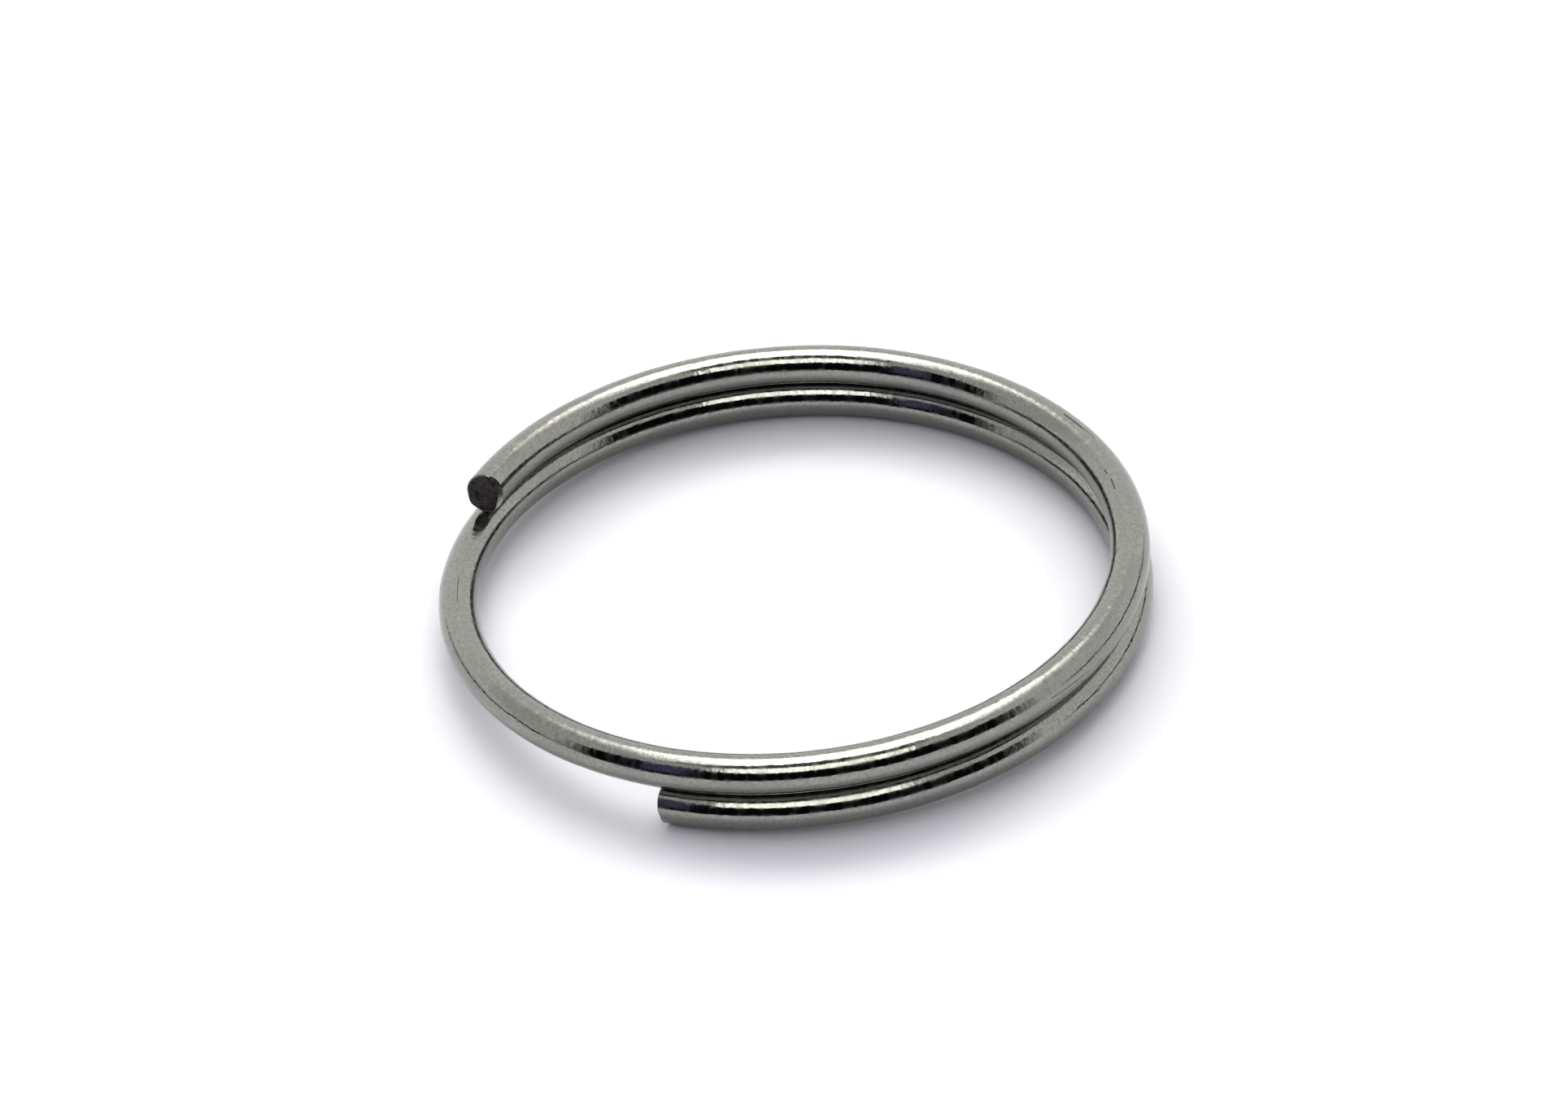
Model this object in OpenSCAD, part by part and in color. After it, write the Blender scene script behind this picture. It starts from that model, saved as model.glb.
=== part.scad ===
// Split key ring: one round spring wire wound one and three quarter turns, lying on a flat surface.
// The wire is a chain of equal circular arcs. At every station, where two arcs meet, the plane of the
// coil is twisted a little about the wire itself, and that twist alone makes the coil climb.
// Opening the ring is more of the same twist, so two of the stations are also its hinges.

/* [Wire] */
// Diameter of the plated wire
wire_d = 1.4; // [1.3:0.1:1.8]
// Length of the straight sheared stub at each end
stub_len = 0.2; // [0.2:0.05:0.5]
// Edge broken off each sheared face
stub_chamfer = 0.12; // [0.05:0.01:0.18]

/* [Ring] */
// Outside diameter, averaged over the turns of wire
ring_d = 25; // [22:0.5:30]
// Clearance between the closed coils
coil_gap = 0.03; // [0.02:0.01:0.06]
// How much further out each turn lies than the turn above it
turn_growth = 0.05; // [0:0.05:0.2]
// Direction in which the lower end lies, anticlockwise from +X
lower_end_direction = -114.5; // [-180:0.5:180]

/* [Colours] */
// Nickel plating
plating_colour = "#B9B7AE"; // ["#B9B7AE", "#C9C9C9"]
// Bare steel of a sheared face
cut_colour = "#5E5650"; // ["#5E5650", "#6E6E6E"]

/* [Hidden] */
$fn = 64;

// 21 arcs of 30 degrees are one and three quarter turns
arcs = 21;
arc_deg = 30;
turns = arcs * arc_deg / 360;
// Step of the points that measure the wire's outline
outline_step = 2;

wire_r = wire_d / 2;
mean_r = (ring_d - wire_d) / 2;
// The coils touch along a slant when one turn lies outside the next
pitch = sqrt(pow(wire_d + coil_gap, 2) - pow(turn_growth, 2));
// How steeply the wire climbs in the middle of an arc, and the twist at a station that makes it do so
climb = asin(pitch * arc_deg / 360 / (2 * mean_r * sin(arc_deg / 2)));
station_twist = 2 * atan(sin(arc_deg / 2) * tan(climb));
// The closed coil leans until the point opposite its lower end is down too
lean = atan(pitch / 4 / mean_r);

function move(x, y, z) = [[1, 0, 0, x], [0, 1, 0, y], [0, 0, 1, z], [0, 0, 0, 1]];
function about_x(a) = [[1, 0, 0, 0], [0, cos(a), -sin(a), 0], [0, sin(a), cos(a), 0], [0, 0, 0, 1]];
function about_y(a) = [[cos(a), 0, sin(a), 0], [0, 1, 0, 0], [-sin(a), 0, cos(a), 0], [0, 0, 0, 1]];
function about_z(a) = [[cos(a), -sin(a), 0, 0], [sin(a), cos(a), 0, 0], [0, 0, 1, 0], [0, 0, 0, 1]];

// Radius of the wire's centreline along one arc, counted upwards from the lower end
function arc_r(k) = mean_r + turn_growth * turns * (0.5 - (k + 0.5) / arcs);
// Travel along an arc from its start. A frame on the wire has X outwards, Y along the wire and Z up
// across the coil.
function along(k, a) = move(-arc_r(k), 0, 0) * about_z(a) * move(arc_r(k), 0, 0);

// The coil leaning back from its lower end, then the frame at the start of its first arc
leaning = about_z(lower_end_direction) * about_x(climb) * about_y(-lean);
start = leaning * about_z(arc_deg / 2) * move(arc_r(0), 0, 0) * about_x(climb) * along(0, -arc_deg / 2);
function coil_frame(k) = k == 0 ? start : coil_frame(k - 1) * along(k - 1, arc_deg) * about_y(station_twist);

// The outline, a row of points along the wire, sets the coil down on z = 0, centred on the Z axis
outline = [for (k = [0:arcs - 1]) let (f = coil_frame(k))
           for (a = [0:outline_step:arc_deg - outline_step]) f * along(k, a) * [0, 0, 0, 1]];
function lowest(i) = min([for (p = outline) p[i]]);
function highest(i) = max([for (p = outline) p[i]]);
set_down = move(-(lowest(0) + highest(0)) / 2, -(lowest(1) + highest(1)) / 2, wire_r - lowest(2));
function station(k) = set_down * coil_frame(k);

module wire_arc(k) {
    multmatrix(station(k))
        translate([-arc_r(k), 0, 0])
            rotate_extrude(angle = arc_deg)
                translate([arc_r(k), 0])
                    circle(d = wire_d);
}

// A sheared stub: the wire runs on straight, and the edge of its face is broken
module stub() {
    rotate_extrude()
        polygon([[0, 0], [wire_r, 0], [wire_r, stub_len - stub_chamfer],
                 [wire_r - stub_chamfer, stub_len], [0, stub_len]]);
}

// Sheared stubs
module lower_cut_end() { color(cut_colour) multmatrix(station(0)) rotate([90, 0, 0]) stub(); }
module upper_cut_end() { color(cut_colour) multmatrix(station(arcs)) rotate([-90, 0, 0]) stub(); }

// The lower leaf, which parts from the turn above it when the lower end is prised open
module lower_tip() { color(plating_colour) wire_arc(0); }
module lower_leaf_1() { color(plating_colour) wire_arc(1); }
module lower_leaf_2() { color(plating_colour) wire_arc(2); }
module lower_leaf_3() { color(plating_colour) wire_arc(3); }
module lower_leaf_4() { color(plating_colour) wire_arc(4); }

// The stretch between the leaves, which keeps its shape
module lower_coil_back_1() { color(plating_colour) wire_arc(5); }
module lower_coil_back_2() { color(plating_colour) wire_arc(6); }
module lower_coil_back_3() { color(plating_colour) wire_arc(7); }
module lower_coil_back_4() { color(plating_colour) wire_arc(8); }
module crossover_1() { color(plating_colour) wire_arc(9); }
module crossover_2() { color(plating_colour) wire_arc(10); }
module crossover_3() { color(plating_colour) wire_arc(11); }
module upper_coil_front_1() { color(plating_colour) wire_arc(12); }
module upper_coil_front_2() { color(plating_colour) wire_arc(13); }
module upper_coil_front_3() { color(plating_colour) wire_arc(14); }
module upper_coil_front_4() { color(plating_colour) wire_arc(15); }

// The upper leaf, which parts from the turn below it when the upper end is prised open
module upper_leaf_4() { color(plating_colour) wire_arc(16); }
module upper_leaf_3() { color(plating_colour) wire_arc(17); }
module upper_leaf_2() { color(plating_colour) wire_arc(18); }
module upper_leaf_1() { color(plating_colour) wire_arc(19); }
module upper_tip() { color(plating_colour) wire_arc(20); }

lower_cut_end();
lower_tip();
lower_leaf_1();
lower_leaf_2();
lower_leaf_3();
lower_leaf_4();
lower_coil_back_1();
lower_coil_back_2();
lower_coil_back_3();
lower_coil_back_4();
crossover_1();
crossover_2();
crossover_3();
upper_coil_front_1();
upper_coil_front_2();
upper_coil_front_3();
upper_coil_front_4();
upper_leaf_4();
upper_leaf_3();
upper_leaf_2();
upper_leaf_1();
upper_tip();
upper_cut_end();
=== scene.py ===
"""A split key ring of nickel-plated spring wire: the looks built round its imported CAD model.

The wire is meshed again from the CAD model's own driving dimensions, finely enough for its
plating to mirror the room. It comes in five pieces: one for each CAD body, and one for each
sheared end.
"""
import math

import bpy
import numpy as np
from mathutils import Matrix, Vector, noise


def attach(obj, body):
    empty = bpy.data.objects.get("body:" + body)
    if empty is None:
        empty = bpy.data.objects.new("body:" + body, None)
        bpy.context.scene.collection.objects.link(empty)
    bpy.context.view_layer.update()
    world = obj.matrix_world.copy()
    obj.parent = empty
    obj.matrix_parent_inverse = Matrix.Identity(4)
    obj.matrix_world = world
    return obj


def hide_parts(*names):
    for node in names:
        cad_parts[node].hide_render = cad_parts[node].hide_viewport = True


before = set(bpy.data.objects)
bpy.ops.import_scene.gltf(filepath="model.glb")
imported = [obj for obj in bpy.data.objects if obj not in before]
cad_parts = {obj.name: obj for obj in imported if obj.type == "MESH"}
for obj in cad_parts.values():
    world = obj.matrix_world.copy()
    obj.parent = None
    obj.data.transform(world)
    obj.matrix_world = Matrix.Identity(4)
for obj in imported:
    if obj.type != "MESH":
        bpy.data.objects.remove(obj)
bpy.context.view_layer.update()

# ---------------------------------------------------------------- driving dimensions, as in the CAD
MM = 0.001
WIRE_R = 0.7 * MM
RING_D = 25 * MM
COIL_GAP = 0.03 * MM
TURN_GROWTH = 0.05 * MM
STUB = 0.2 * MM
LOWER_END_DIRECTION = math.radians(-114.5)
ARCS = 21
ARC = math.radians(30)
# Points on each arc that measure the wire's outline
OUTLINE_STEPS = 15

TURNS = ARCS * ARC / math.tau
MEAN_R = RING_D / 2 - WIRE_R
PITCH = math.sqrt((2 * WIRE_R + COIL_GAP) ** 2 - TURN_GROWTH**2)
CLIMB = math.asin(PITCH * ARC / math.tau / (2 * MEAN_R * math.sin(ARC / 2)))
STATION_TWIST = 2 * math.atan(math.sin(ARC / 2) * math.tan(CLIMB))
LEAN = math.atan(PITCH / 4 / MEAN_R)


def turned(axis, angle):
    return np.array(Matrix.Rotation(angle, 4, axis))


def moved(x, y, z):
    return np.array(Matrix.Translation((x, y, z)))


def arc_r(k):
    """Radius of the wire's centre line along arc k, counted upwards from the lower end."""
    return MEAN_R + TURN_GROWTH * TURNS * (0.5 - (k + 0.5) / ARCS)


def along(k, angle):
    return moved(-arc_r(k), 0, 0) @ turned("Z", angle) @ moved(arc_r(k), 0, 0)


def stations():
    """A frame at each end of each arc: X outwards, Y along the wire, Z up across the coil."""
    leaning = turned("Z", LOWER_END_DIRECTION) @ turned("X", CLIMB) @ turned("Y", -LEAN)
    first = leaning @ turned("Z", ARC / 2) @ moved(arc_r(0), 0, 0)
    first = first @ turned("X", CLIMB) @ along(0, -ARC / 2)
    chain = [first]
    for k in range(ARCS):
        chain.append(chain[-1] @ along(k, ARC) @ turned("Y", STATION_TWIST))
    outline = np.array([(chain[k] @ along(k, ARC * i / OUTLINE_STEPS))[:3, 3]
                        for k in range(ARCS) for i in range(OUTLINE_STEPS)])
    low, high = outline.min(axis=0), outline.max(axis=0)
    down = moved(-(low[0] + high[0]) / 2, -(low[1] + high[1]) / 2, WIRE_R - low[2])
    return [down @ f for f in chain]


STATION = stations()
# Length of wire up to each station
REACH = np.concatenate([[0.0], np.cumsum([arc_r(k) * ARC for k in range(ARCS)])])


def centre_line(s):
    """Points of the wire, s metres along it, and the directions out, along and across there.

    Past its ends the wire runs on straight.
    """
    s = np.asarray(s, float)
    k = np.clip(np.searchsorted(REACH, s, side="right") - 1, 0, ARCS - 1)
    frames = np.array(STATION)[k]
    radius = np.array([arc_r(i) for i in range(ARCS)])[k]
    inside = np.clip(s, 0, REACH[-1])
    angle = (inside - REACH[k]) / radius
    past = s - inside
    ca, sa = np.cos(angle)[:, None], np.sin(angle)[:, None]
    x, y, z = frames[:, :3, 0], frames[:, :3, 1], frames[:, :3, 2]
    out, on = ca * x + sa * y, ca * y - sa * x
    point = frames[:, :3, 3] + radius[:, None] * (out - x) + past[:, None] * on
    # the station's twist is spread along the arc, so that the rings of the mesh line up
    twist = (angle / ARC - 0.5) * STATION_TWIST
    ct, st = np.cos(twist)[:, None], np.sin(twist)[:, None]
    return point, ct * out - st * z, on, st * out + ct * z


# ---------------------------------------------------------------- the wire's skin
# Drawing leaves a wire a few micrometres out of true. Each ripple has its height, its waves in
# RIPPLE_STRETCH, its lobes round the wire and its phase
RIPPLES = [
    (1.6e-6, 16, 0, 0.4),
    (1.4e-6, 27, 1, 2.1),
    (1.1e-6, 41, 2, 4.4),
    (0.8e-6, 63, 1, 5.2),
    (0.7e-6, 88, 3, 1.3),
    (0.5e-6, 131, 2, 3.3),
]
RIPPLE_STRETCH = 100 * MM


def skin(s, phi):
    """Surface of the wire at lengths s and angles phi, counted from outwards towards upwards.

    s and phi are arrays of one shape.
    """
    point, out, _, across = centre_line(s.ravel())
    p = phi.ravel()
    r = np.full(p.shape, WIRE_R)
    for height, waves, lobes, phase in RIPPLES:
        turns = s.ravel() * waves * math.tau / RIPPLE_STRETCH
        r = r + height * (np.sin(turns + lobes * p + phase) - 1)
    here = point + r[:, None] * (np.cos(p)[:, None] * out + np.sin(p)[:, None] * across)
    return here.reshape(*s.shape, 3)


def skin_normal(s, phi):
    """Outward normal of the skin, from small steps along the wire and round it."""
    ds, dp = 5e-6, 0.01
    a = skin(s + ds, phi) - skin(s - ds, phi)
    b = skin(s, phi + dp) - skin(s, phi - dp)
    n = np.cross(b, a)
    n /= np.linalg.norm(n, axis=-1, keepdims=True)
    centre = centre_line(s.ravel())[0].reshape(*s.shape, 3)
    flip = np.sign(np.sum(n * (skin(s, phi) - centre), axis=-1, keepdims=True))
    return n * flip


# The wire's mesh: points round it, from the bottom, and the length of wire between its rings
SEGMENTS = 72
PHI = np.arange(SEGMENTS) / SEGMENTS * math.tau - math.pi / 2
RING_STEP = 0.16 * MM
# The wire's regular rings stop this far short of a free end, and closer ones go on to the
# broken edge, at these shares of the way
END_ROOM = 0.35 * MM
END_RINGS = (0.25, 0.5, 0.75, 1.0)
# How deep the cone that closes the wire inside a sheared end goes, and the sheared end's own cone
WIRE_ROOT = 0.5 * MM
END_ROOT = 0.25 * MM


def new_mesh(name, points, faces):
    mesh = bpy.data.meshes.new(name)
    mesh.from_pydata([tuple(p) for p in points], [], faces)
    mesh.update()
    mesh.shade_smooth()
    return mesh


def new_object(name, data):
    made = bpy.data.objects.new(name, data)
    bpy.context.scene.collection.objects.link(made)
    return made


def straightened(s, phi):
    """Where a point would be, in mm, if the wire were straight: patterns are laid on with this."""
    return np.stack([s / MM, WIRE_R / MM * np.cos(phi), WIRE_R / MM * np.sin(phi)], axis=-1)


# The broken edge round an end, in millimetres: the angle where it is widest and its width there,
# and its width and height elsewhere
BEVEL = {"upper": (math.radians(162), 0.24), "lower": (math.radians(150), 0.12)}
BEVEL_WIDTH, BEVEL_HEIGHT, BEVEL_EXTRA_HEIGHT = 0.060, 0.045, 0.065


def end_bevel(which):
    """(axial, radial) size of the broken edge at each angle round an end."""
    lean, wide = BEVEL[which]
    side = np.clip(np.cos(PHI - lean), 0, 1) ** 2
    flats = 0.020 * np.cos(5 * PHI + 0.6) + 0.010 * np.cos(8 * PHI + 1.9)
    radial = (BEVEL_WIDTH + (wide - BEVEL_WIDTH) * side + flats) * MM
    axial = (BEVEL_HEIGHT + BEVEL_EXTRA_HEIGHT * side + 0.5 * flats) * MM
    return axial, radial


# How each face leans back towards its top, as a slope, and how far its middle lies short of the
# wire's end
FACE = {"upper": (0.20, 0.14 * MM), "lower": (-0.13, 0.17 * MM)}


def setback(which, y):
    """How far the sheared face lies short of the wire's very end, y upwards from its middle."""
    slope, middle = FACE[which]
    return slope * y + middle


def wire_piece(name, s0, s1, free=None):
    """A closed length of wire. At its free end, if it has one, it stops at the broken edge."""
    from_s, to_s = s0 + END_ROOM * (free == "lower"), s1 - END_ROOM * (free == "upper")
    count = int(math.ceil((to_s - from_s) / RING_STEP)) + 1
    rows = np.linspace(from_s, to_s, count)[:, None] + np.zeros(SEGMENTS)[None, :]
    if free:
        axial, _ = end_bevel(free)
        side = -1 if free == "lower" else 1
        reach = END_ROOM + STUB - axial - setback(free, WIRE_R * np.sin(PHI))
        for share in END_RINGS:
            row = (to_s if side > 0 else from_s) + side * share * reach
            rows = np.vstack([rows, row]) if side > 0 else np.vstack([row, rows])
    phi = np.broadcast_to(PHI, rows.shape)
    points, normals = skin(rows, phi), skin_normal(rows, phi)
    place = straightened(rows, phi)
    last = len(rows) - 1
    first_s = rows[0].mean() + WIRE_ROOT * (free == "lower")
    last_s = rows[last].mean() - WIRE_ROOT * (free == "upper")
    roots, _, on, _ = centre_line(np.array([first_s, last_s]))
    first_root = len(rows) * SEGMENTS
    faces, corner_normals, corner_places = [], [], []

    def corner(i, j):
        return i * SEGMENTS + j, i, j

    def put(corners, normal=None):
        """One face, from (point, ring, place in the ring) for each of its corners."""
        faces.append([index for index, _, _ in corners])
        for _, i, j in corners:
            corner_normals.append(normals[i, j] if normal is None else normal)
            corner_places.append(place[i, j])

    for i in range(last):
        for j in range(SEGMENTS):
            m = (j + 1) % SEGMENTS
            put([corner(i + 1, j), corner(i + 1, m), corner(i, m), corner(i, j)])
    for j in range(SEGMENTS):
        m = (j + 1) % SEGMENTS
        put([corner(0, j), corner(0, m), (first_root, 0, j)], -on[0])
        put([corner(last, m), corner(last, j), (first_root + 1, last, j)], on[1])
    mesh = new_mesh(name, np.vstack([points.reshape(-1, 3), roots]), faces)
    wire = mesh.attributes.new("wire", "FLOAT_VECTOR", "CORNER")
    wire.data.foreach_set("vector", np.asarray(corner_places, np.float32).ravel())
    mesh.normals_split_custom_set([tuple(normal) for normal in corner_normals])
    return new_object(name, mesh)


# Rings of the broken edge, as shares of the way from the wire's skin to the face, and the number
# of rings of the face
EDGE_RINGS = (0.0, 0.12, 0.5, 0.88, 1.0)
FACE_RINGS = 22
# The sheared end is this much slimmer than the wire round it
END_R = WIRE_R * 0.999
# Where the noise is read that shapes each torn face
FACE_NOISE = {"upper": 3.7, "lower": 9.1}


def end_piece(name, which):
    """The sheared end: a bevel all round, wider on one side, and a torn face, not quite square.

    Its attribute "worked" is 1 on the bevel and 0 on the face. "wire" is the place across the
    wire and along it, in millimetres.
    """
    axial, radial = end_bevel(which)
    side = -1 if which == "lower" else 1
    start = 0.0 if which == "lower" else REACH[-1]
    point, out, on, across = (v[0] for v in centre_line(np.array([start])))
    forward = on * side

    def place(r, h, phi):
        return point + forward * h + r * (math.cos(phi) * out + math.sin(phi) * across)

    def relief(x, y, outward):
        """Height of the torn face: a burnished part and a rougher, lower rest, with a lip.

        outward is 0 in the middle of the face and 1 at its rim.
        """
        q = Vector((x / MM, y / MM, FACE_NOISE[which]))
        torn = min(max((y / WIRE_R + 0.25) * 3, 0), 1)
        rough = noise.fractal(q * 4.5, 1.0, 2.1, 4) * (0.006 + 0.012 * torn)
        tear = 0.016 * noise.noise(q * 2.2)
        return ((rough + tear) * (1 - outward**6) - 0.012 * torn * (1 - outward**4)) * MM

    verts, worked, rows = [], [], []
    for share in EDGE_RINGS:
        row = []
        for j, phi in enumerate(PHI):
            r = END_R - radial[j] * share
            h = STUB - axial[j] * (1 - share) + 0.01 * MM * math.sin(share * math.pi)
            back = setback(which, WIRE_R * math.sin(phi)) * (1 - share)
            back += setback(which, r * math.sin(phi)) * share
            row.append(len(verts))
            verts.append(place(r, min(h, STUB) - back, phi))
            # the edge's last ring gets 0.6: cut_steel paints a dark shade line there, between the
            # bevel and the face
            worked.append(1.0 if share < 1 else 0.6)
        rows.append(row)
    for i in range(1, FACE_RINGS):
        outward = 1 - i / FACE_RINGS
        row = []
        for j, phi in enumerate(PHI):
            r = (END_R - radial[j]) * outward
            x, y = r * math.cos(phi), r * math.sin(phi)
            h = STUB + min(relief(x, y, outward), 0.004 * MM) - setback(which, y)
            row.append(len(verts))
            verts.append(place(r, h, phi))
            worked.append(max(0.0, 1 - (1 - outward) * FACE_RINGS))
        rows.append(row)
    middle, root = len(verts), len(verts) + 1
    verts.append(place(0, STUB + relief(0, 0, 0) - setback(which, 0), 0))
    verts.append(place(0, -END_ROOT, 0))
    worked += [0.0, 0.0]
    faces = []
    for a, b in zip(rows, rows[1:]):
        for j in range(SEGMENTS):
            m = (j + 1) % SEGMENTS
            faces.append([a[j], a[m], b[m], b[j]])
    for j in range(SEGMENTS):
        m = (j + 1) % SEGMENTS
        faces.append([rows[-1][j], rows[-1][m], middle])
        faces.append([rows[0][m], rows[0][j], root])
    if which == "upper":
        faces = [list(reversed(f)) for f in faces]
    mesh = new_mesh(name, verts, faces)
    mask = mesh.attributes.new("worked", "FLOAT", "POINT")
    mask.data.foreach_set("value", np.asarray(worked, np.float32))
    local = mesh.attributes.new("wire", "FLOAT_VECTOR", "POINT")
    flat = (np.array(verts) - point) @ np.stack([out, across, forward], axis=1) / MM
    local.data.foreach_set("vector", flat.astype(np.float32).ravel())
    mesh.set_sharp_from_angle(angle=math.radians(38))
    return new_object(name, mesh)


# ---------------------------------------------------------------- node helpers
class Nodes:
    """Short calls for building one node tree."""

    def __init__(self, tree):
        self.tree = tree

    def add(self, kind, **settings):
        made = self.tree.nodes.new(kind)
        for key, value in settings.items():
            setattr(made, key, value)
        return made

    def feed(self, socket, value):
        if isinstance(value, bpy.types.NodeSocket):
            self.tree.links.new(value, socket)
        elif value is not None:
            socket.default_value = value

    def math(self, operation, a, b=None, c=None, clamp=False):
        made = self.add("ShaderNodeMath", operation=operation, use_clamp=clamp)
        for socket, value in zip(made.inputs, (a, b, c)):
            self.feed(socket, value)
        return made.outputs[0]

    def product(self, *factors):
        total = factors[0]
        for factor in factors[1:]:
            total = self.math("MULTIPLY", total, factor)
        return total

    def step(self, value, low, high, to_low=0.0, to_high=1.0):
        """A smooth step from to_low to to_high as value goes from low to high."""
        made = self.add("ShaderNodeMapRange", interpolation_type="SMOOTHSTEP")
        for socket, v in zip(made.inputs, (value, low, high, to_low, to_high)):
            self.feed(socket, v)
        return made.outputs[0]

    def between(self, value, low, high, soft):
        """1 from low to high, 0 outside, with soft edges."""
        rising = self.step(value, low - soft, low + soft)
        return self.product(rising, self.step(value, high - soft, high + soft, 1, 0))

    def vector(self, operation, a, b=None, scale=None):
        made = self.add("ShaderNodeVectorMath", operation=operation)
        self.feed(made.inputs[0], a)
        self.feed(made.inputs[1], b)
        if scale is not None:
            self.feed(made.inputs["Scale"], scale)
        return made.outputs["Value" if operation in ("DOT_PRODUCT", "DISTANCE") else "Vector"]

    def mix(self, share, a, b):
        made = self.add("ShaderNodeMix", data_type="RGBA")
        # A, B and Result are the names of a socket for each type of data; these are the colours
        self.feed(made.inputs["Factor"], share)
        self.feed(made.inputs[6], a)
        self.feed(made.inputs[7], b)
        return made.outputs[2]

    def noise(self, vector, scale, stretch=(1, 1, 1), detail=2.0, roughness=0.5):
        at = self.add("ShaderNodeMapping")
        self.feed(at.inputs["Vector"], vector)
        at.inputs["Scale"].default_value = stretch
        made = self.add("ShaderNodeTexNoise")
        self.feed(made.inputs["Vector"], at.outputs[0])
        made.inputs["Scale"].default_value = scale
        made.inputs["Detail"].default_value = detail
        made.inputs["Roughness"].default_value = roughness
        return made.outputs["Fac"]

    def bump(self, shader, height, strength, distance):
        made = self.add("ShaderNodeBump")
        made.inputs["Strength"].default_value = strength
        made.inputs["Distance"].default_value = distance
        self.feed(made.inputs["Height"], height)
        self.feed(shader.inputs["Normal"], made.outputs[0])


def new_material(name):
    made = bpy.data.materials.new(name)
    made.use_nodes = True
    nodes = Nodes(made.node_tree)
    shader = made.node_tree.nodes["Principled BSDF"]
    return made, nodes, shader


# Handling scratches: the arc of the wire and the angle from outwards towards upwards, for each of
# a scratch's two ends, and its half width in mm
SCRATCHES = [
    ((16.88, 80), (16.70, 78), 0.026),
    ((16.70, 76), (16.58, 73), 0.012),
    ((16.27, 110), (16.23, 110), 0.018),
    ((16.17, 106), (16.07, 108), 0.016),
    ((7.35, 140), (7.50, 146), 0.012),
    ((12.1, 60), (12.34, 57), 0.010),
    ((19.3, 100), (19.36, 108), 0.012),
    ((9.7, 95), (9.94, 91), 0.010),
    ((5.6, -20), (5.9, -16), 0.012),
    ((14.2, 10), (14.5, 4), 0.012),
    ((2.4, 30), (2.6, 24), 0.012),
]
# How far a scratch's edge wanders and how soft it is, in mm
SCRATCH_WANDER, SCRATCH_EDGE = 0.02, 0.010


def scratches(n, wire):
    """1 on a scratch, 0 elsewhere."""
    ragged = n.noise(wire, 1.0, (14, 30, 30), 2)
    total = None
    for start, end, half in SCRATCHES:
        ends = []
        for arc, angle in (start, end):
            k, a = int(arc), math.radians(angle)
            s = REACH[k] + (arc - k) * arc_r(k) * ARC
            ends.append(Vector((s, WIRE_R * math.cos(a), WIRE_R * math.sin(a))) / MM)
        run = ends[1] - ends[0]
        gone = n.vector("SUBTRACT", wire, tuple(ends[0]))
        along_run = n.vector("DOT_PRODUCT", gone, tuple(run))
        share = n.math("DIVIDE", along_run, run.length_squared, clamp=True)
        off = n.vector("DISTANCE", gone, n.vector("SCALE", tuple(run), scale=share))
        off = n.math("MULTIPLY_ADD", ragged, SCRATCH_WANDER, off)
        mark = n.step(off, half + 0.004, half + 0.004 + SCRATCH_EDGE, 1, 0)
        total = mark if total is None else n.math("MAXIMUM", total, mark)
    return total


# Colours of the plating, from cool to warm, under handling marks, in fine specks and in a scratch
PLATE_COOL, PLATE_WARM = (0.364, 0.369, 0.344, 1), (0.398, 0.386, 0.354, 1)
PLATE_HANDLED, PLATE_SPECK = (0.336, 0.339, 0.322, 1), (0.308, 0.313, 0.293, 1)
PLATE_SCRATCHED = (0.045, 0.042, 0.038, 1)
# Its roughness where it is smooth, and what draw lines, beads, scratches and handling add to that
PLATE_ROUGH, LINES_ROUGH, BEADS_ROUGH, SCRATCH_ROUGH, HANDLED_ROUGH = 0.048, 0.07, 0.12, 0.35, 0.06
# The parts that draw lines, chatter and grain have in its relief, and that relief's height
LINES_PART, CHATTER_PART, GRAIN_PART = 0.8, 4.6, 0.7
PLATE_RELIEF = 0.004 * MM


def nickel():
    """Nickel plate over drawn wire: draw lines, chatter across them, grain, handling, scratches."""
    made, n, shader = new_material("nickel_plating")
    wire = n.add("ShaderNodeAttribute", attribute_name="wire").outputs["Vector"]
    # each noise has its waves in a millimetre along the wire, and across it
    draw_lines = n.noise(wire, 1.0, (0.12, 9, 9), 3)
    chatter = n.noise(wire, 1.0, (4.5, 4.2, 4.2), 1.5)
    grain = n.noise(wire, 1.0, (13, 13, 13), 2)
    cloud = n.noise(wire, 1.0, (0.35, 1.1, 1.1), 3)
    tint = n.noise(wire, 1.0, (0.8, 1.7, 1.7), 2)
    speck = n.noise(wire, 1.0, (9, 9, 9), 3, 0.6)
    beads = n.noise(wire, 1.0, (3.4, 1.6, 1.6), 1.5)
    worn = scratches(n, wire)
    colour = n.mix(n.step(tint, 0.35, 0.65), PLATE_COOL, PLATE_WARM)
    colour = n.mix(n.step(cloud, 0.42, 0.75), colour, PLATE_HANDLED)
    colour = n.mix(n.step(speck, 0.35, 0.68), colour, PLATE_SPECK)
    colour = n.mix(worn, colour, PLATE_SCRATCHED)
    n.feed(shader.inputs["Base Color"], colour)
    shader.inputs["Metallic"].default_value = 1.0
    rough = n.math("MULTIPLY_ADD", draw_lines, LINES_ROUGH, PLATE_ROUGH)
    rough = n.math("MULTIPLY_ADD", n.step(beads, 0.44, 0.60), BEADS_ROUGH, rough)
    rough = n.math("MULTIPLY_ADD", worn, SCRATCH_ROUGH, rough)
    rough = n.math("MULTIPLY_ADD", n.step(cloud, 0.5, 0.8), HANDLED_ROUGH, rough)
    n.feed(shader.inputs["Roughness"], rough)
    height = n.math("MULTIPLY", chatter, CHATTER_PART)
    height = n.math("MULTIPLY_ADD", draw_lines, LINES_PART, height)
    height = n.math("MULTIPLY_ADD", grain, GRAIN_PART, height)
    n.bump(shader, height, 0.35, PLATE_RELIEF)
    return made
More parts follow.
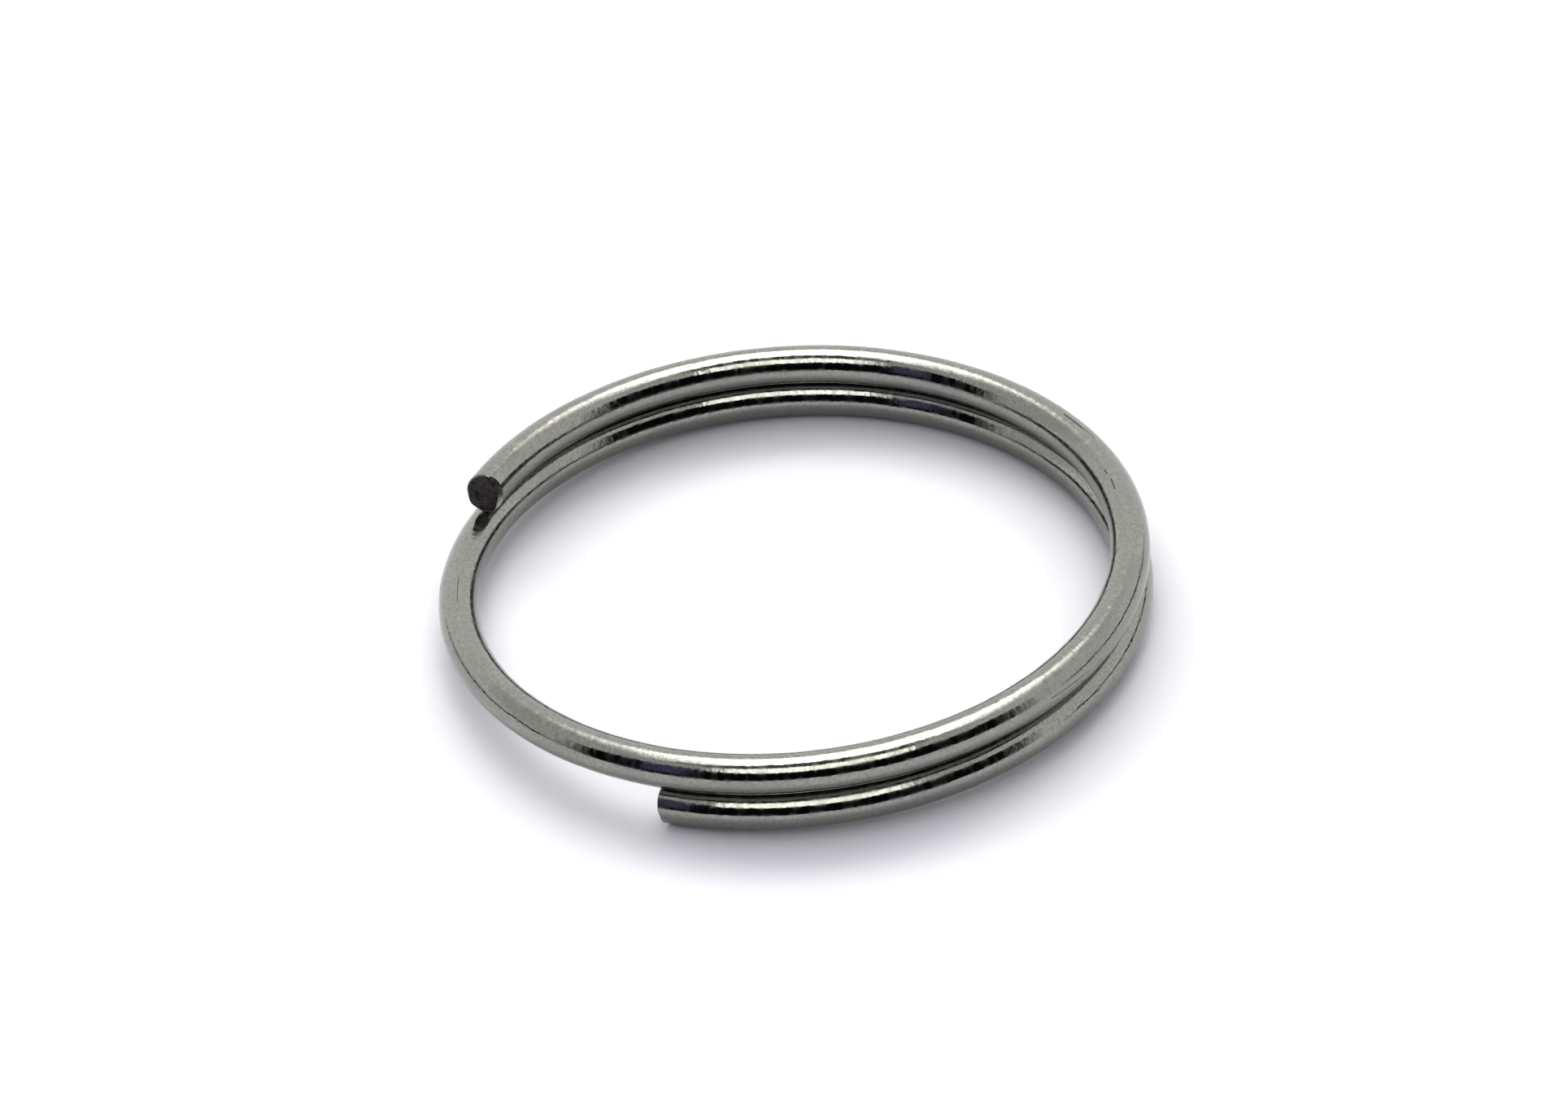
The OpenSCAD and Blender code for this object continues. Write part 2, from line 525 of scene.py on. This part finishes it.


# Colours of a sheared face: plain, stained and torn, and of its worked edge and the painted shade
# inside that: a dark line painted where the edge meets the face
FACE_PLAIN, FACE_STAINED = (0.100, 0.091, 0.098, 1), (0.125, 0.107, 0.098, 1)
FACE_TORN, EDGE_WORKED = (0.035, 0.030, 0.032, 1), (0.40, 0.39, 0.365, 1)
EDGE_PAINTED_SHADE = (0.010, 0.010, 0.010, 1)
# Its roughness, what tearing adds to that and what the edge's burnishing takes off, and the
# height of its relief
FACE_ROUGH, TORN_ROUGH, EDGE_SMOOTH = 0.34, 0.35, 0.22
FACE_RELIEF = 0.02 * MM


def cut_steel():
    """Sheared bare steel, dull and torn, with a burnished edge that has a painted dark shade line
    inside it.
    """
    made, n, shader = new_material("cut_steel")
    wire = n.add("ShaderNodeAttribute", attribute_name="wire").outputs["Vector"]
    worked = n.add("ShaderNodeAttribute", attribute_name="worked").outputs["Fac"]
    torn = n.noise(wire, 1.0, (5, 5, 5), 4, 0.6)
    stain = n.noise(wire, 1.0, (1.8, 1.8, 1.8), 3)
    lines = n.noise(wire, 1.0, (3, 24, 3), 2)
    face = n.mix(n.step(stain, 0.4, 0.65), FACE_PLAIN, FACE_STAINED)
    face = n.mix(n.step(torn, 0.5, 0.72), face, FACE_TORN)
    colour = n.mix(worked, face, EDGE_WORKED)
    # painted shade: a near-black line painted where worked is about 0.6, between the burnished edge
    # and the torn face
    rim = n.product(n.step(worked, 0.15, 0.35), n.step(worked, 0.70, 0.95, 1, 0))
    n.feed(shader.inputs["Base Color"], n.mix(rim, colour, EDGE_PAINTED_SHADE))
    shader.inputs["Metallic"].default_value = 1.0
    rough = n.math("MULTIPLY_ADD", torn, TORN_ROUGH, FACE_ROUGH)
    n.feed(shader.inputs["Roughness"], n.math("MULTIPLY_ADD", worked, -EDGE_SMOOTH, rough))
    n.bump(shader, n.math("MULTIPLY_ADD", lines, 0.4, torn), 0.6, FACE_RELIEF)
    return made


# Colours of the floor, and how many of its flecks there are to the metre
PAPER_DARK, PAPER_LIGHT = (0.86, 0.86, 0.875, 1), (0.88, 0.88, 0.89, 1)
FLECKS = 900.0


def paper():
    """The pale floor, with flecks about a millimetre across."""
    made, n, shader = new_material("pale_floor")
    place = n.add("ShaderNodeTexCoord").outputs["Object"]
    fleck = n.noise(place, FLECKS, (1, 1, 1), 3)
    n.feed(shader.inputs["Base Color"], n.mix(fleck, PAPER_DARK, PAPER_LIGHT))
    shader.inputs["Roughness"].default_value = 0.9
    shader.inputs["Specular IOR Level"].default_value = 0.15
    return made


# ---------------------------------------------------------------- the pieces
# The stations where the wire hinges
LOWER_HINGE, UPPER_HINGE = 5, 16
NODES_OF = {
    "lower_leaf_wire": ("lower_leaf", ["lower_tip"] + [f"lower_leaf_{i}" for i in (1, 2, 3, 4)]),
    "middle_wire": ("middle", [f"lower_coil_back_{i}" for i in (1, 2, 3, 4)]
                    + [f"crossover_{i}" for i in (1, 2, 3)]
                    + [f"upper_coil_front_{i}" for i in (1, 2, 3, 4)]),
    "upper_leaf_wire": ("upper_leaf", [f"upper_leaf_{i}" for i in (4, 3, 2, 1)] + ["upper_tip"]),
}
plating, steel, floor_paper = nickel(), cut_steel(), paper()

wires = [
    wire_piece("lower_leaf_wire", REACH[0], REACH[LOWER_HINGE], free="lower"),
    wire_piece("middle_wire", REACH[LOWER_HINGE], REACH[UPPER_HINGE]),
    wire_piece("upper_leaf_wire", REACH[UPPER_HINGE], REACH[-1], free="upper"),
]
for made in wires:
    made.data.materials.append(plating)
    body, nodes = NODES_OF[made.name]
    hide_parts(*nodes)
    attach(made, body)
for which in ("lower", "upper"):
    made = end_piece(f"{which}_sheared_end", which)
    made.data.materials.append(steel)
    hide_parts(f"{which}_cut_end")
    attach(made, f"{which}_leaf")

# ---------------------------------------------------------------- floor and light
bpy.ops.mesh.primitive_circle_add(vertices=96, radius=1.5, fill_type="NGON", location=(0, 0, 0))
floor = bpy.context.active_object
floor.name = "floor"
floor.data.materials.append(floor_paper)

# Radiance of the room: plain, to the right, to the left, and low behind the ring
ROOM, ROOM_RIGHT = (0.88, 0.88, 0.87, 1), (1.10, 1.10, 1.09, 1)
ROOM_LEFT, ROOM_BACK = (0.91, 0.91, 0.90, 1), (1.20, 1.20, 1.19, 1)
# and of what stands in it
DARK_SIDE, CEILING_GAP = (0.012, 0.011, 0.015, 1), (0.215, 0.225, 0.215, 1)
VIOLET_THING, WALL_FOOT = (0.225, 0.19, 0.35, 1), (0.06, 0.06, 0.06, 1)
BACK_PANEL, FRONT_PANEL = (4.7, 4.7, 4.6, 1), (2.8, 2.8, 2.7, 1)
# and of the plainer sky that scattered light meets: the cool room, and a lamp high up behind the
# ring
FLOOR_SKY, FLOOR_LAMP = (0.62, 0.62, 0.68, 1), (5.3, 5.3, 5.2, 1)
# and of the backdrop that the camera sees past the floor's edge
BACKDROP = (1.20, 1.20, 1.19, 1)
# Bearings across the sky are taken from a point behind the ring, this share of its radius back
BEARINGS_FROM = 0.789


def studio():
    """The room that the wire mirrors, painted on the sky by direction."""
    world = bpy.data.worlds.new("studio")
    world.use_nodes = True
    n = Nodes(world.node_tree)
    direction = n.add("ShaderNodeSeparateXYZ")
    n.feed(direction.inputs[0], n.add("ShaderNodeTexCoord").outputs["Generated"])
    x, y, z = direction.outputs
    overhead = n.step(z, 0.05, 0.15)
    # where a direction meets the ceiling, and how far that is to one side
    height = n.math("MAXIMUM", z, 0.05)
    u, v = n.math("DIVIDE", x, height), n.math("DIVIDE", y, height)
    aside = n.math("ABSOLUTE", u)
    # the panels are set out by bearing, taken low behind the ring, and by how far forward they lie
    bearing = n.math("DIVIDE", x, n.math("SUBTRACT", BEARINGS_FROM, y))
    forward = n.math("MULTIPLY_ADD", n.product(u, u), 0.5, n.math("MULTIPLY", v, -1))

    fading = n.product(n.step(u, -0.70, -0.04), n.step(u, 0.08, 0.80, 1, 0))
    back_panel = n.product(fading, fading, n.step(v, -0.02, 0.06), n.step(v, 0.65, 1.15, 1, 0),
                           overhead)
    front_panel = n.product(n.between(bearing, -0.318, 0.278, 0.006),
                            n.between(forward, 0.36, 1.04, 0.03), overhead)
    # the dark side of the room, behind the camera, and the strip of ceiling between the panels
    reaching_up = n.math("MULTIPLY_ADD", n.between(bearing, -0.72, -0.36, 0.05), 0.28, forward)
    dark = n.product(n.between(bearing, -0.90, 0.75, 0.12), n.step(reaching_up, 0.85, 1.05),
                     n.step(z, 0.0, 0.05))
    gap = n.product(n.between(bearing, -0.36, 0.30, 0.05), n.between(forward, -0.06, 0.44, 0.05),
                    overhead)
    # something violet stands out of the dark on the left
    violet = n.product(n.between(bearing, -0.56, -0.39, 0.03), n.between(z, 0.24, 0.80, 0.08),
                       dark)
    # a thin dark line where the floor meets the walls on either side
    sides = n.product(n.step(n.math("ABSOLUTE", x), 0.62, 0.80), n.step(y, -0.25, -0.05))
    wall_foot = n.product(n.between(z, -0.005, 0.085, 0.015), sides)

    sky = n.mix(n.step(x, 0.25, 0.75), ROOM, ROOM_RIGHT)
    sky = n.mix(n.step(x, -0.80, -0.30, 1, 0), sky, ROOM_LEFT)
    sky = n.mix(n.step(v, 0.6, 1.3), sky, ROOM_BACK)
    for share, colour in ((dark, DARK_SIDE), (gap, CEILING_GAP), (violet, VIOLET_THING),
                          (wall_foot, WALL_FOOT), (back_panel, BACK_PANEL),
                          (front_panel, FRONT_PANEL)):
        sky = n.mix(share, sky, colour)
    lamp = n.product(n.between(v, 0.60, 1.40, 0.15), n.step(aside, 0.6, 1.2, 1, 0), overhead)
    plain_sky = n.mix(lamp, FLOOR_SKY, FLOOR_LAMP)
    rays = n.add("ShaderNodeLightPath").outputs
    sky = n.mix(rays["Is Diffuse Ray"], sky, plain_sky)
    sky = n.mix(rays["Is Camera Ray"], sky, BACKDROP)
    n.feed(world.node_tree.nodes["Background"].inputs["Color"], sky)
    return world


bpy.context.scene.world = studio()

# ---------------------------------------------------------------- camera
ELEVATION, ROLL, DISTANCE = math.radians(37.846), math.radians(-4.871), 203.45 * MM
LENS_MM, SENSOR_MM = 132.92, 36.0
SHIFT_X, SHIFT_Y = -0.00872, 0.03224


def photographer():
    """The camera, aimed at the origin and rolled about that line."""
    back = Vector((0, -math.cos(ELEVATION), math.sin(ELEVATION)))
    level = Vector((1, 0, 0))
    upright = back.cross(level)
    right = math.cos(ROLL) * level + math.sin(ROLL) * upright
    up = -math.sin(ROLL) * level + math.cos(ROLL) * upright
    pose = Matrix((right, up, back)).transposed().to_4x4()
    pose.translation = back * DISTANCE
    lens = bpy.data.cameras.new("camera")
    lens.lens, lens.sensor_width, lens.sensor_fit = LENS_MM, SENSOR_MM, "HORIZONTAL"
    lens.shift_x, lens.shift_y = SHIFT_X, SHIFT_Y
    lens.clip_start, lens.clip_end = 0.01, 10.0
    made = new_object("camera", lens)
    made.matrix_world = pose
    return made


bpy.context.scene.camera = photographer()

look = bpy.context.scene.view_settings
look.view_transform, look.look, look.exposure, look.gamma = "Standard", "None", 0.0, 0.75
